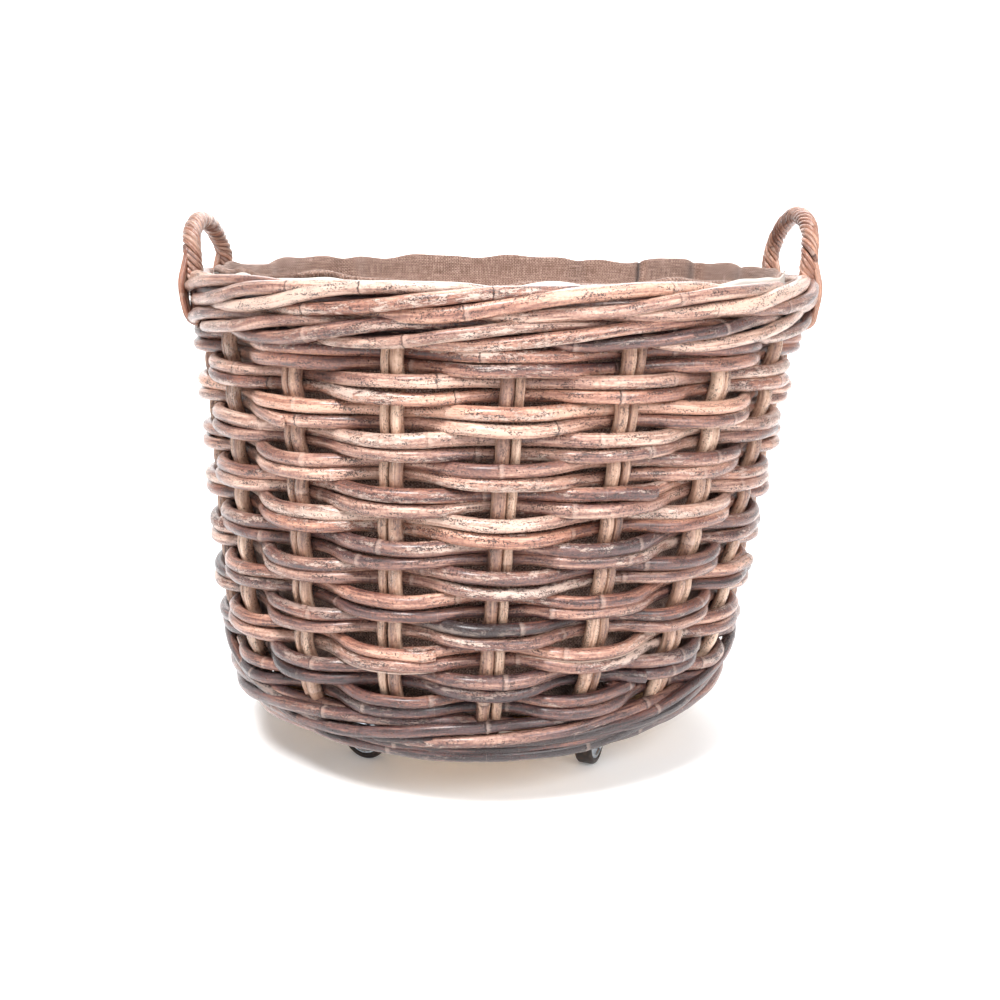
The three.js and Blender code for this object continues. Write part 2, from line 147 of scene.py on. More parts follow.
class Canes:
    """Gathers lengths of cane into one mesh."""

    def __init__(self, seed):
        self.rng = np.random.default_rng(seed)
        self.points, self.faces = [], []
        self.cane, self.tone, self.ring = [], [], []
        self.count = 0

    def add(self, path, radius, dark, warm=0.5, sides=10, joint=180.0, rough=1.0):
        """A length of cane along a path.

        dark is one shade for the whole cane or one for each point of the path, warm how rosy
        it is, joint the usual distance between its rings, rough how uneven its surface is.
        """
        rng = self.rng
        n = len(path)
        step = np.linalg.norm(np.diff(path, axis=0), axis=1)
        s = np.concatenate([[0], np.cumsum(step)])
        places = [rng.uniform(10, joint)]
        while places[-1] < s[-1] + joint:
            places.append(places[-1] + joint * rng.uniform(0.7, 1.35))
        gap = s[:, None] - np.array(places)[None, :]
        ring = gap[np.arange(n), np.argmin(np.abs(gap), axis=1)]
        r = radius * (1 + rough * wander(rng, s, 0.03))
        r = r * (1 + rough * 0.07 * np.exp(-((ring / 3.5) ** 2)))
        ring = np.clip(ring, -40, 40)
        normal, binormal = sides_of(path)
        angle = TAU * np.arange(sides) / sides
        lump = np.zeros((n, sides))
        for turns in (2, 3):
            spin = angle[None, :] * turns + wander(rng, s, 1.4)[:, None]
            lump += 0.028 * rough * np.sin(spin + rng.uniform(0, TAU))
        shell = (r[:, None] * (1 + lump))[..., None]
        cos, sin = np.cos(angle), np.sin(angle)
        rim = normal[:, None] * cos[None, :, None] + binormal[:, None] * sin[None, :, None]
        body = path[:, None] + shell * rim
        tangent = unit(np.gradient(path, axis=0))
        caps = []
        for end, sign in ((0, -1), (n - 1, 1)):
            out = tangent[end] * sign * r[end] * 0.12
            small = path[end] + (body[end] - path[end]) * 0.86 + out
            caps.append((small, path[end] + out * 1.15))
        rows = np.vstack([caps[0][0][None], body, caps[1][0][None]])
        base = self.count
        verts = np.vstack([rows.reshape(-1, 3), caps[0][1][None], caps[1][1][None]])
        m = n + 2
        i = np.arange(m - 1)[:, None] * sides
        j = np.arange(sides)[None, :]
        k = (j + 1) % sides
        quads = np.stack([i + j, i + k, i + sides + k, i + sides + j], axis=-1).reshape(-1, 4)
        self.faces += (quads[:, ::-1] + base).tolist()
        low, high = m * sides, m * sides + 1
        last = (m - 1) * sides
        for a in range(sides):
            self.faces.append([base + a, base + (a + 1) % sides, base + low])
        for a in range(sides):
            self.faces.append([base + last + (a + 1) % sides, base + last + a, base + high])
        self.points.append(verts)
        self.count += len(verts)
        start = rng.uniform(0, 50000)
        along = np.concatenate([[s[0]], s, [s[-1]]]) + start
        cane = np.empty((m, sides, 3))
        cane[..., 0] = along[:, None] * MM
        cane[..., 1] = cos[None, :]
        cane[..., 2] = sin[None, :]
        ends_at = [[(s[0] + start) * MM, 0, 0], [(s[-1] + start) * MM, 0, 0]]
        self.cane.append(np.vstack([cane.reshape(-1, 3), ends_at]))
        wide = np.concatenate([[ring[0]], ring, [ring[-1]]])
        flat = np.repeat(wide, sides)
        self.ring.append(np.concatenate([flat, [ring[0], ring[-1]]]))
        shade = np.broadcast_to(np.asarray(dark, float), (n,))
        shade = np.repeat(np.concatenate([[shade[0]], shade, [shade[-1]]]), sides)
        shade = np.concatenate([shade, [shade[0], shade[-1]]])
        seed = np.full(len(shade), rng.random())
        self.tone.append(np.stack([shade, np.full(len(shade), warm), seed], axis=-1))

    def make(self, name, material, body, slot, *nodes):
        mesh = bpy.data.meshes.new(name)
        mesh.from_pydata((np.vstack(self.points) * MM).tolist(), [], self.faces)
        give(mesh, "cane", np.vstack(self.cane))
        give(mesh, "tone", np.vstack(self.tone))
        give(mesh, "ring", np.concatenate(self.ring))
        return settle(name, mesh, material, body, slot, *nodes)


def give(mesh, name, values):
    """Stores one number or one vector for each point of a mesh."""
    kind, field = ("FLOAT", "value") if values.ndim == 1 else ("FLOAT_VECTOR", "vector")
    layer = mesh.attributes.new(name, kind, "POINT")
    layer.data.foreach_set(field, np.ascontiguousarray(values, np.float32).ravel())


def settle(name, mesh, material, body, slot, *nodes):
    """Puts a finished mesh into the scene, on its body."""
    mesh.validate()
    mesh.polygons.foreach_set("use_smooth", [True] * len(mesh.polygons))
    mesh.materials.append(material)
    piece = bpy.data.objects.new(name, mesh)
    bpy.context.scene.collection.objects.link(piece)
    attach(piece, body)
    if nodes:
        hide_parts(*nodes)
    return piece


# Materials


def srgb(r, g, b):
    """A display colour, 0 to 255, as the shader wants it."""

    def linear(c):
        c /= 255
        return c / 12.92 if c <= 0.04045 else ((c + 0.055) / 1.055) ** 2.4

    return (linear(r), linear(g), linear(b), 1.0)


class Look:
    """A material whose colour, roughness and relief come from a few nodes."""

    def __init__(self, name, **values):
        self.material = bpy.data.materials.new(name)
        self.material.use_nodes = True
        self.tree = self.material.node_tree
        self.shader = self.tree.nodes["Principled BSDF"]
        for socket, value in values.items():
            self.shader.inputs[socket.replace("_", " ")].default_value = value

    def node(self, kind, *links, **settings):
        made = self.tree.nodes.new(kind)
        for key, value in settings.items():
            setattr(made, key, value)
        for socket, source in links:
            self.put(made.inputs[socket], source)
        return made

    def put(self, socket, source):
        if isinstance(source, bpy.types.NodeSocket):
            self.tree.links.new(source, socket)
        else:
            socket.default_value = source

    def set(self, socket, source):
        self.put(self.shader.inputs[socket], source)

    def attribute(self, name, output="Vector"):
        return self.node("ShaderNodeAttribute", attribute_name=name).outputs[output]

    def place(self):
        return self.node("ShaderNodeTexCoord").outputs["Object"]

    def times(self, vector, factors):
        links = ((0, vector), (1, factors))
        return self.node("ShaderNodeVectorMath", *links, operation="MULTIPLY").outputs[0]

    def noise(self, vector, scale=1.0, detail=3.0, roughness=0.55):
        links = (("Vector", vector), ("Scale", scale), ("Detail", detail), ("Roughness", roughness))
        return self.node("ShaderNodeTexNoise", *links).outputs["Fac"]

    def math(self, operation, *values):
        links = tuple(enumerate(values))
        return self.node("ShaderNodeMath", *links, operation=operation).outputs[0]

    def step(self, value, low, high, to=(0.0, 1.0)):
        links = ((0, value), (1, low), (2, high), (3, to[0]), (4, to[1]))
        made = self.node("ShaderNodeMapRange", *links, interpolation_type="SMOOTHSTEP")
        return made.outputs[0]

    def mix(self, factor, a, b, blend="MIX"):
        made = self.node("ShaderNodeMix", data_type="RGBA", blend_type=blend)
        for socket, source in ((0, factor), (6, a), (7, b)):
            self.put(made.inputs[socket], source)
        return made.outputs[2]

    def ramp(self, value, stops):
        made = self.node("ShaderNodeValToRGB", ("Fac", value))
        elements = made.color_ramp.elements
        while len(elements) < len(stops):
            elements.new(0.5)
        for element, (position, colour) in zip(elements, stops):
            element.position = position
            element.color = colour
        return made.outputs["Color"]

    def part(self, vector, axis):
        return self.node("ShaderNodeSeparateXYZ", (0, vector)).outputs[axis]

    def bump(self, height, strength, distance, normal=None):
        links = [("Height", height), ("Strength", strength), ("Distance", distance)]
        if normal is not None:
            links.append(("Normal", normal))
        return self.node("ShaderNodeBump", *links).outputs[0]


def cane_look(name, stops, peel, speck=0.5):
    """Rattan: streaked along its length, ringed at its joints, with bark rubbed off in patches."""
    look = Look(name, Specular_IOR_Level=0.6, Coat_Weight=0.5, Coat_Roughness=0.24)
    cane = look.attribute("cane")
    tone = look.attribute("tone")
    ring = look.attribute("ring", "Fac")
    dark, warm = look.part(tone, 0), look.part(tone, 1)
    patch = look.noise(look.times(cane, (9.0, 0.7, 0.7)), detail=3)
    streak = look.noise(look.times(cane, (30.0, 3.0, 3.0)), detail=4, roughness=0.65)
    fibre = look.noise(look.times(cane, (90.0, 14.0, 14.0)), detail=3, roughness=0.6)
    mottle = look.noise(look.times(cane, (330.0, 2.4, 2.4)), detail=5, roughness=0.7)
    shade = look.math("MULTIPLY_ADD", patch, 1.7, -0.85)
    shade = look.math("ADD", shade, look.math("MULTIPLY_ADD", streak, 1.1, -0.55))
    shade = look.math("ADD", shade, look.math("MULTIPLY_ADD", fibre, 0.22, -0.11))
    shade = look.math("ADD", shade, look.math("MULTIPLY_ADD", mottle, 0.95, -0.475))
    shade = look.math("ADD", shade, dark)
    colour = look.ramp(shade, stops)
    rosy = look.mix(1.0, colour, srgb(255, 235, 224), "MULTIPLY")
    colour = look.mix(look.step(warm, 0.3, 1.0), colour, rosy)
    # Bark rubbed off in ragged patches, down to pale fibre
    scuff = look.noise(look.times(cane, (75.0, 1.3, 1.3)), detail=7, roughness=0.85)
    worn = look.noise(look.times(cane, (6.0, 0.4, 0.4)), detail=1)
    bare = look.math("ADD", scuff, look.math("MULTIPLY_ADD", worn, 0.6, -0.3))
    bare = look.step(bare, peel, peel + 0.02)
    pale = look.mix(fibre, srgb(204, 172, 156), srgb(246, 226, 212))
    shown = look.step(dark, 0.35, 0.85, (0.75, 0.25))
    colour = look.mix(look.math("MULTIPLY", bare, shown), colour, pale)
    # Pits and specks, in clusters
    grain = look.noise(look.times(cane, (640.0, 4.6, 4.6)), detail=2, roughness=0.6)
    cluster = look.noise(look.times(cane, (40.0, 1.2, 1.2)), detail=4)
    spots = look.math("ADD", grain, look.math("MULTIPLY", cluster, 0.8))
    spots = look.step(spots, 0.985, 1.06)
    spots = look.math("MULTIPLY", spots, speck)
    colour = look.mix(spots, colour, srgb(54, 36, 35))
    # The joints: a ragged dark line with a pale band above it, strong on some canes only
    ragged = look.math("ADD", ring, look.math("MULTIPLY_ADD", mottle, 6.0, -3.0))
    line = look.step(look.math("ABSOLUTE", ragged), 1.0, 0.1)
    band = look.math("MULTIPLY", look.step(ragged, 0.6, 1.6), look.step(ragged, 6.5, 3.0))
    clear = look.step(look.part(tone, 2), 0.3, 1.0)
    colour = look.mix(look.math("MULTIPLY", band, 0.3), colour, srgb(220, 192, 176))
    colour = look.mix(look.math("MULTIPLY", line, clear), colour, srgb(58, 40, 38))
    look.set("Base Color", colour)
    gloss = look.math("MULTIPLY_ADD", bare, 0.3, 0.17)
    look.set("Roughness", look.math("ADD", gloss, look.math("MULTIPLY", mottle, 0.25)))
    relief = look.math("ADD", look.math("MULTIPLY", fibre, 0.3), look.math("MULTIPLY", bare, -0.6))
    relief = look.math("ADD", relief, look.math("MULTIPLY", mottle, 1.0))
    relief = look.math("ADD", relief, look.math("MULTIPLY", streak, 0.8))
    relief = look.math("ADD", relief, look.math("MULTIPLY", spots, -0.9))
    relief = look.math("ADD", relief, look.math("MULTIPLY", line, -0.8))
    look.set("Normal", look.bump(relief, 0.85, 0.0011))
    return look.material


WOVEN_STOPS = [
    (0.0, srgb(224, 192, 174)),
    (0.18, srgb(194, 155, 137)),
    (0.38, srgb(158, 117, 102)),
    (0.56, srgb(122, 84, 74)),
    (0.74, srgb(88, 60, 59)),
    (1.0, srgb(40, 27, 30)),
]
PALE_STOPS = [
    (0.0, srgb(226, 194, 170)),
    (0.3, srgb(190, 150, 126)),
    (0.6, srgb(146, 107, 90)),
    (1.0, srgb(74, 53, 49)),
]
HANDLE_STOPS = [
    (0.0, srgb(208, 172, 153)),
    (0.35, srgb(174, 133, 113)),
    (0.7, srgb(130, 90, 76)),
    (1.0, srgb(70, 46, 41)),
]
woven = cane_look("woven_cane_look", WOVEN_STOPS, 0.59, speck=0.85)
pale = cane_look("stake_cane_look", PALE_STOPS, 0.66, speck=0.7)
handle = cane_look("handle_cane_look", HANDLE_STOPS, 0.72, speck=0.3)


HESSIAN_THREADS = 1700.0
HEM_THREADS = 6200.0


def hessian_look():
    look = Look("hessian_look", Roughness=0.95, Specular_IOR_Level=0.15, Sheen_Weight=0.25)
    cloth = look.attribute("cloth")
    drift = look.noise(look.times(cloth, (90.0, 90.0, 90.0)), detail=2)
    across = look.math("MULTIPLY", look.part(cloth, 0), HESSIAN_THREADS)
    across = look.math("MULTIPLY_ADD", drift, 2.6, across)
    up = look.math("MULTIPLY", look.part(cloth, 1), HESSIAN_THREADS)
    up = look.math("MULTIPLY_ADD", drift, 2.6, up)
    weft, warp = look.math("SINE", across), look.math("SINE", up)
    weave = look.math("MULTIPLY", weft, warp)
    slub = look.noise(look.times(cloth, (60.0, 900.0, 1.0)), detail=2)
    slub_up = look.noise(look.times(cloth, (900.0, 60.0, 1.0)), detail=2)
    threads = look.math("ADD", slub, slub_up)
    colour = look.ramp(
        look.math("MULTIPLY", threads, 0.5),
        [(0.36, srgb(112, 85, 73)), (0.5, srgb(156, 125, 111)), (0.64, srgb(200, 170, 155))],
    )
    holes = look.step(weave, -0.35, -0.95)
    colour = look.mix(look.math("MULTIPLY", holes, 0.85), colour, srgb(78, 56, 47))
    cloud = look.noise(cloth, scale=14.0, detail=3)
    colour = look.mix(look.step(cloud, 0.35, 0.7, (0.0, 0.35)), colour, srgb(138, 108, 94))
    # Painted shade in the folds' creases, carried in the cloth's third number
    colour = look.mix(look.part(cloth, 2), colour, srgb(58, 40, 33))
    look.set("Base Color", colour)
    relief = look.math("ADD", weave, look.math("MULTIPLY", threads, 0.8))
    look.set("Normal", look.bump(relief, 0.8, 0.0008))
    return look.material


def hem_look():
    look = Look("hem_look", Roughness=0.9, Specular_IOR_Level=0.2, Sheen_Weight=0.2)
    cloth = look.attribute("cloth")
    weft = look.math("SINE", look.math("MULTIPLY", look.part(cloth, 0), HEM_THREADS))
    warp = look.math("SINE", look.math("MULTIPLY", look.part(cloth, 1), HEM_THREADS))
    weave = look.math("MULTIPLY", weft, warp)
    cloud = look.noise(cloth, scale=30.0, detail=3)
    look.set("Base Color", look.mix(cloud, srgb(244, 240, 232), srgb(226, 220, 210)))
    look.set("Normal", look.bump(weave, 0.4, 0.0003))
    return look.material


def metal_look():
    """Zinc plate, slightly blue, with the faint spangle of the plating."""
    look = Look("zinc_look", Metallic=1.0, Roughness=0.3)
    place = look.place()
    spangle = look.noise(place, scale=260.0, detail=2)
    smear = look.noise(place, scale=45.0, detail=4)
    look.set("Base Color", look.mix(smear, srgb(176, 186, 198), srgb(214, 220, 226)))
    look.set("Roughness", look.step(spangle, 0.3, 0.7, (0.22, 0.4)))
    look.set("Normal", look.bump(spangle, 0.1, 0.0002))
    return look.material


def rubber_look():
    look = Look("tyre_look", Roughness=0.55, Specular_IOR_Level=0.4)
    place = look.place()
    dust = look.noise(place, scale=160.0, detail=4)
    colour = look.mix(look.step(dust, 0.45, 0.75), srgb(38, 28, 24), srgb(74, 60, 52))
    look.set("Base Color", colour)
    look.set("Roughness", look.step(dust, 0.3, 0.8, (0.35, 0.7)))
    look.set("Normal", look.bump(dust, 0.2, 0.0003))
    return look.material


def plywood_look():
    look = Look("plywood_look", Roughness=0.65, Specular_IOR_Level=0.3)
    place = look.place()
    figure = look.noise(look.times(place, (3.0, 30.0, 30.0)), scale=2.0, detail=5, roughness=0.6)
    pores = look.noise(look.times(place, (20.0, 420.0, 420.0)), scale=1.0, detail=2)
    colour = look.ramp(
        figure,
        [(0.3, srgb(176, 134, 88)), (0.5, srgb(204, 166, 118)), (0.7, srgb(222, 190, 146))],
    )
    # The plies show on the board's edge
    height = look.math("MULTIPLY", look.part(place, 2), 3000.0)
    ply = look.step(look.math("SINE", height), -0.2, 0.4)
    normal = look.node("ShaderNodeNewGeometry").outputs["Normal"]
    flat = look.math("ABSOLUTE", look.part(normal, 2))
    edge = look.math("MULTIPLY", look.step(flat, 0.5, 0.2), ply)
    colour = look.mix(look.math("MULTIPLY", edge, 0.5), colour, srgb(128, 88, 54))
    look.set("Base Color", colour)
    look.set("Normal", look.bump(pores, 0.25, 0.0003))
    return look.material


hessian = hessian_look()
hem = hem_look()
zinc = metal_look()
rubber = rubber_look()
plywood = plywood_look()

# The woven wall

WEAVE_SWING = 11.2  # how far a row's rods stand in and out of the stake circle
STAKE_SWING = 2.0  # how far the rods push the stakes in and out
ROW_ROD = 6.35  # radius of a weaving rod
ROW_LENGTH = 1800  # about once round the wall
# How dark the two rods of each row are, from the top row down: partly the rods' own tone and partly
# painted light and shade, lighter in the upper rows and darker towards the foot
ROW_SHADES = [
    (0.42, 0.54),
    (0.24, 0.36),
    (0.14, 0.26),
    (0.28, 0.42),
    (0.42, 0.26),
    (0.5, 0.36),
    (0.24, 0.4),
    (0.58, 0.48),
    (0.48, 0.34),
    (0.46, 0.58),
    (0.7, 0.44),
    (0.34, 0.42),
    (0.62, 0.7),
    (0.54, 0.76),
]


# Where a rod ends in view and the next one starts: (row, lower rod?) to angles in degrees
ROD_ENDS = {
    (11, False): [-9.5],
    (12, True): [34.0],
    (13, False): [33.0, -148.0],
    (2, True): [-38.0],
    (5, False): [28.0, 118.0],
    (7, True): [-64.0, 160.0],
    (9, False): [66.0, -100.0],
    (3, False): [-170.0, 84.0],
}
# A rod with a dark stretch: (row, lower rod?), the stretch's middle and width in degrees
DARK_ROD = (10, False)
DARK_MIDDLE = -2
DARK_WIDTH = 11
SPLIT_ROW = 11


def row_path(row, lower, start, stop):
    """One rod's way round the wall between two angles."""
    theta = np.linspace(start, stop, max(24, int((stop - start) * 70)))
    turn = (theta - FIRST_STAKE) / STEP
    wave = np.cos(math.pi * (turn + row + 1))
    swing = np.tanh(1.15 * wave) / math.tanh(1.15) * WEAVE_SWING
    side = -1 if lower else 1
    z = ROW_TOP - row * ROW_PITCH + side * ROW_ROD * 0.98 - (0.3 + 0.14 * row) * wave
    return theta, wall_radius(z) + swing - side * 0.4, z


def weave_row(row):
    canes = Canes(100 + row)
    rng = canes.rng
    rise = rng.uniform(-0.8, 0.8)
    for lower in (False, True):
        # Rods start and end behind a stake that this row passes inside, round the back
        stake = 9 + int(rng.integers(-2, 3))
        if (stake + row) % 2:
            stake += 1
        overlap = 0.35 * STEP
        start = stake_angle(stake - STAKES) - overlap
        stops = []
        for degrees in ROD_ENDS.get((row, lower), []):
            stops.append((math.radians(degrees) - start) % TAU + start)
        stops = [start, *sorted(stops), start + TAU + 2 * overlap]
        places = np.linspace(0, ROW_LENGTH, 500)
        waves = wander(rng, places, 1.0)
        bulge = wander(rng, places, 0.5)
        for first, last in zip(stops, stops[1:]):
            early = math.radians(4.5) if first != start else 0.0
            late = math.radians(1.5) if last != stops[-1] else 0.0
            theta, r, z = row_path(row, lower, first - early, last + late)
            arc = (theta - start) * 280
            z = z + rise + np.interp(arc, places, waves)
            r = r + np.interp(arc, places, bulge)
            if early:
                r = r - 5.5 * np.exp(-((theta - theta[0]) / math.radians(5)) ** 2)
            if late:
                tip = np.exp(-((theta - theta[-1]) / math.radians(4)) ** 2)
                r, z = r + 4.5 * tip, z - 1.5 * tip
            dark = np.full(len(theta), ROW_SHADES[row][lower] + rng.uniform(-0.05, 0.05))
            if (row, lower) == DARK_ROD:
                off_middle = theta - math.radians(DARK_MIDDLE)
                dark += 0.5 * np.exp(-(off_middle / math.radians(DARK_WIDTH)) ** 2)
            path = on_wall(theta, r, z)
            radius = ROW_ROD * rng.uniform(0.88, 1.07)
            length = np.linalg.norm(np.diff(path, axis=0), axis=1).sum()
            even = resample(path, 5.0)
            along = np.linspace(0, length, len(dark))
            shade = np.interp(np.linspace(0, length, len(even)), along, dark)
            canes.add(even, radius, shade, warm=rng.uniform(0.0, 1.0))
    name = f"{row + 1:02d}"
    if row == SPLIT_ROW:
        add_split(canes)
    canes.make(f"woven_rods_{name}", woven, "basket", "woven_cane", f"weave_row_{name}")


def add_split(canes):
    """The pale torn edge of a rod that has split along its length."""
    for low, high, up, out in ((-36, -7, -4.6, 3.6), (9, 39, 5.2, 3.4)):
        theta, r, z = row_path(SPLIT_ROW, True, math.radians(low), math.radians(high))
        path = on_wall(theta, r + out, z + up)
        canes.add(resample(path, 4.0), 1.0, -0.35, warm=0.0, sides=6, joint=400, rough=0.6)


def stake_rods(i):
    canes = Canes(300 + i)
    rng = canes.rng
    angle = stake_angle(i)
    side = 1 if i < 1 or i > STAKES / 2 else -1
    for shift, radius in ((side * THIN_ROD, THICK_ROD), (-side * THICK_ROD, THIN_ROD)):
        z = np.linspace(62, 462, 110)
        woven_part = np.clip((z - 90) / 10, 0, 1) * np.clip((430 - z) / 10, 0, 1)
        push = -STAKE_SWING * np.cos(math.pi * ((ROW_TOP - z) / ROW_PITCH + i + 1)) * woven_part
        r = wall_radius(z) + push + wander(rng, z, 0.3)
        along = shift + wander(rng, z, 0.45)
        path = on_wall(angle, r, z)
        path[:, 0] += along * math.cos(angle)
        path[:, 1] += along * math.sin(angle)
        dark = rng.uniform(0.18, 0.5)
        canes.add(path, radius * 0.95, dark, warm=rng.uniform(0, 0.6), joint=200)
    name = f"{i + 1:02d}"
    canes.make(f"stake_rods_{name}", pale, "basket", "stake_cane", f"stake_pair_{name}")


# A strand's turn about the plait's middle, in degrees, at a few places along its length
PLAIT_TIMES = (0.0, 0.14, 0.36, 0.6, 0.82, 1.0)
PLAIT_TURN = (-160.0, -88.0, -28.0, 48.0, 100.0, 165.0)
FOOT_TURN_ROUND = (-160.0, -100.0, -40.0, 30.0, 90.0, 150.0)


def plait(canes, strands, bays, centre, size, radius, turn, shades, lift=0.0, tilt=0.0):
    """Strands that each start inside, come out below and pass over to the right.

    centre is (distance out from the stake circle, height); size is how far the strands
    stand from it, out and up; turn gives the angles about it at PLAIT_TIMES.
    """
    rng = canes.rng
    out, height = centre
    for k in range(strands):
        first = FIRST_STAKE + STEP * (k * STAKES / strands + lift) + rng.uniform(-0.12, 0.12) * STEP
        t = np.linspace(0, 1, 120)
        theta = first + t * STEP * bays * rng.uniform(0.95, 1.05)
        phi = np.radians(np.interp(t, PLAIT_TIMES, turn))
        phi = np.convolve(np.pad(phi, 7, "edge"), np.full(15, 1 / 15), "valid")
        phi = phi + wander(rng, t * 500, 0.06)
        wide = size[0] * rng.uniform(0.9, 1.1)
        tall = size[1] * rng.uniform(0.93, 1.07)
        z = height + tall * np.sin(phi)
        r = wall_radius(height) + out + wide * np.cos(phi) + tilt * (z - height)
        arc = (theta - first) * 300
        path = on_wall(theta, r + wander(rng, arc, 0.6), z + wander(rng, arc, 0.7))
        dark = shades[k % len(shades)] + rng.uniform(-0.1, 0.1)
        thick = radius * rng.uniform(0.86, 1.1)
        canes.add(resample(path, 4.5), thick, dark, warm=rng.uniform(0.1, 0.9))


CORE_ROD = 4.6


def core_rings(canes, places):
    """Rods that run round inside a plait, at heights and distances from the stake circle."""
    theta = np.linspace(0, TAU, 420)
    for height, out in places:
        arc = theta * 290
        z = height + wander(canes.rng, arc, 0.4)
        path = on_wall(theta, wall_radius(height) + out, z)
        canes.add(resample(path, 6.0), CORE_ROD, 0.8, warm=0.2)


# Loose rods that climb from the foot towards the sides: from and to in degrees, how far they
# stand out, and how much lower than the foot wale they run at the front
SWEEPS = [(-112, 48, 11.0, 0.0), (-46, 116, 12.0, 9.0), (-20, 98, 13.0, -6.0)]


def make_plaits():
    border = Canes(11)
    # The border's canes are light, partly their own tone and partly painted light high on the
    # basket
    shades = (0.24, 0.1, 0.46, 0.18, 0.34, 0.12, 0.42)
    plait(border, 18, 3.7, (8.5, 463.5), (9.5, 10.5), 6.3, PLAIT_TURN, shades, lift=0.55)
    core_rings(border, ((458.5, 1.0), (467.5, 1.5), (463.0, 9.0)))
    border.make("border_rods", woven, "basket", "border_cane", "rim_border")
    wale = Canes(12)
    shades = (0.34, 0.58, 0.2, 0.46, 0.26)
    plait(wale, 18, 3.1, (8.5, 438.0), (8.5, 9.2), 5.9, PLAIT_TURN, shades, lift=0.1)
    core_rings(wale, ((434.0, 4.0), (442.5, 4.0)))
    wale.make("top_wale_rods", woven, "basket", "border_cane", "top_wale")
    foot = Canes(13)
    # The foot's canes are dark, partly their own tone and partly painted shade low on the basket;
    # the foot border uses them too
    shades = (0.82, 0.6, 0.96, 0.7, 0.88)
    turn = FOOT_TURN_ROUND
    plait(foot, 12, 5.6, (7.0, 77.0), (7.5, 9.5), 5.9, turn, shades, lift=0.3)
    foot.make("foot_wale_rods", woven, "basket", "dark_cane", "foot_wale")
    rim = Canes(14)
    plait(rim, 9, 7.0, (-4.0, 58.0), (9.0, 6.0), 5.5, turn, shades, lift=1.1, tilt=0.6)
    for low, high, out, drop in SWEEPS:
        theta = np.radians(np.linspace(low, high, 160))
        rise = np.clip((np.abs(np.degrees(theta)) - 14) / 82, 0, 1)
        rise = rise * rise * (3 - 2 * rise)
        z = 64 - drop + (50 + drop) * rise
        r = wall_radius(z) + out + 3 * rise
        arc = (theta - theta[0]) * 270
        path = on_wall(theta, r + wander(rim.rng, arc, 0.6), z + wander(rim.rng, arc, 1.0))
        # Dark like the foot: partly the rods' own tone, partly painted shade low on the basket
        rim.add(resample(path, 4.5), 5.4, rim.rng.uniform(0.66, 0.96), warm=rim.rng.random())
    rim.make("foot_border_rods", woven, "basket", "dark_cane", "foot_border")


# Handles

HANDLES = [
    ("right", math.radians(92.9), 73.0, 539.0),
    ("left", math.radians(271.5), 79.0, 527.0),
]
LEG_RADIAL = 298.0
TOP_RADIAL = 305.0
ROPE_STRANDS = 7
ROPE_PITCH = 44.0


def handle_point(middle, along, height, radial):
    x = radial * np.sin(middle) + along * np.cos(middle)
    y = -radial * np.cos(middle) + along * np.sin(middle)
    x, y, z = np.broadcast_arrays(x, y, height)
    return np.stack([x, y, z], axis=-1).astype(float)


def bow_line(middle, span, top, foot):
    shoulder = RIM_TOP + 10
    down = np.linspace(foot, shoulder, 20, endpoint=False)
    t = np.linspace(0, math.pi, 120)
    lift = np.sin(t)
    rise = top - shoulder
    arch = handle_point(
        middle,
        -span * np.cos(t),
        shoulder + rise * lift,
        LEG_RADIAL + (TOP_RADIAL - LEG_RADIAL) * lift,
    )
    legs = [handle_point(middle, side * span, down, LEG_RADIAL) for side in (-1, 1)]
    return resample(np.vstack([legs[0], arch, legs[1][::-1]]), 2.5)


def make_handle(name, middle, span, top):
    body = "basket"
    core = Canes(21)
    # The bow rod is dark as painted shade, where it shows between the rope's strands
    core.add(bow_line(middle, span, top, 434), 4.6, 0.85, joint=140)
    core.make(f"bow_rod_{name}", handle, body, "handle_cane", f"handle_bow_{name}")
    rope = Canes(22 if name == "left" else 23)
    rng = rope.rng
    line = bow_line(middle, span, top, 470)
    normal, binormal = sides_of(line)
    s = np.arange(len(line)) * 2.5
    for k in range(ROPE_STRANDS):
        turn = -TAU * (s / ROPE_PITCH + k / ROPE_STRANDS) + wander(rng, s, 0.09)
        out = 6.5 + wander(rng, s, 0.3)
        spiral = line + out[:, None] * (
            normal * np.cos(turn)[:, None] + binormal * np.sin(turn)[:, None]
        )
        dark = rng.uniform(0.2, 0.62)
        rope.add(spiral, 2.45, dark, warm=rng.uniform(0.3, 1), sides=8, joint=150, rough=0.8)
    for end in (-1, 1):
        for k in range(4):
            spread = (k - 1.2) * 5.6
            tuck = 2.0 * math.sin(1.7 * k + end)
            points = [
                (end * span + spread * 0.25, 500, 4.5),
                (end * span + spread * 0.45, 492, 6.0),
                (end * span + spread * 0.8, 482, 8.0),
                (end * (span + 2) + spread, 470, 10.0),
                (end * (span + 3) + spread, 458, 9.5),
                (end * (span + 5) + spread * 0.9, 446, 7.5 + tuck * 0.3),
                (end * (span + 7) + spread * 0.7, 436 + tuck, 4.0),
                (end * (span + 7) + spread * 0.6, 431 + tuck, -4.0),
            ]
            path = [handle_point(middle, a, z, LEG_RADIAL + r) for a, z, r in points]
            dark = rng.uniform(0.25, 0.6)
            rope.add(smooth_line(path, 3.0), 3.2, dark, warm=rng.uniform(0.3, 1), sides=8)
    rope.make(f"rope_strands_{name}", handle, body, "handle_cane", f"handle_rope_{name}")


# Liner

LINER_IN = 21.7  # how far inside the stake circle the liner hangs
CLOTH_RADIUS = 270.0  # the wall's radius half way up, to measure the cloth's length round it
LINER_THICK = 1.6
HEM_THICK = 0.7
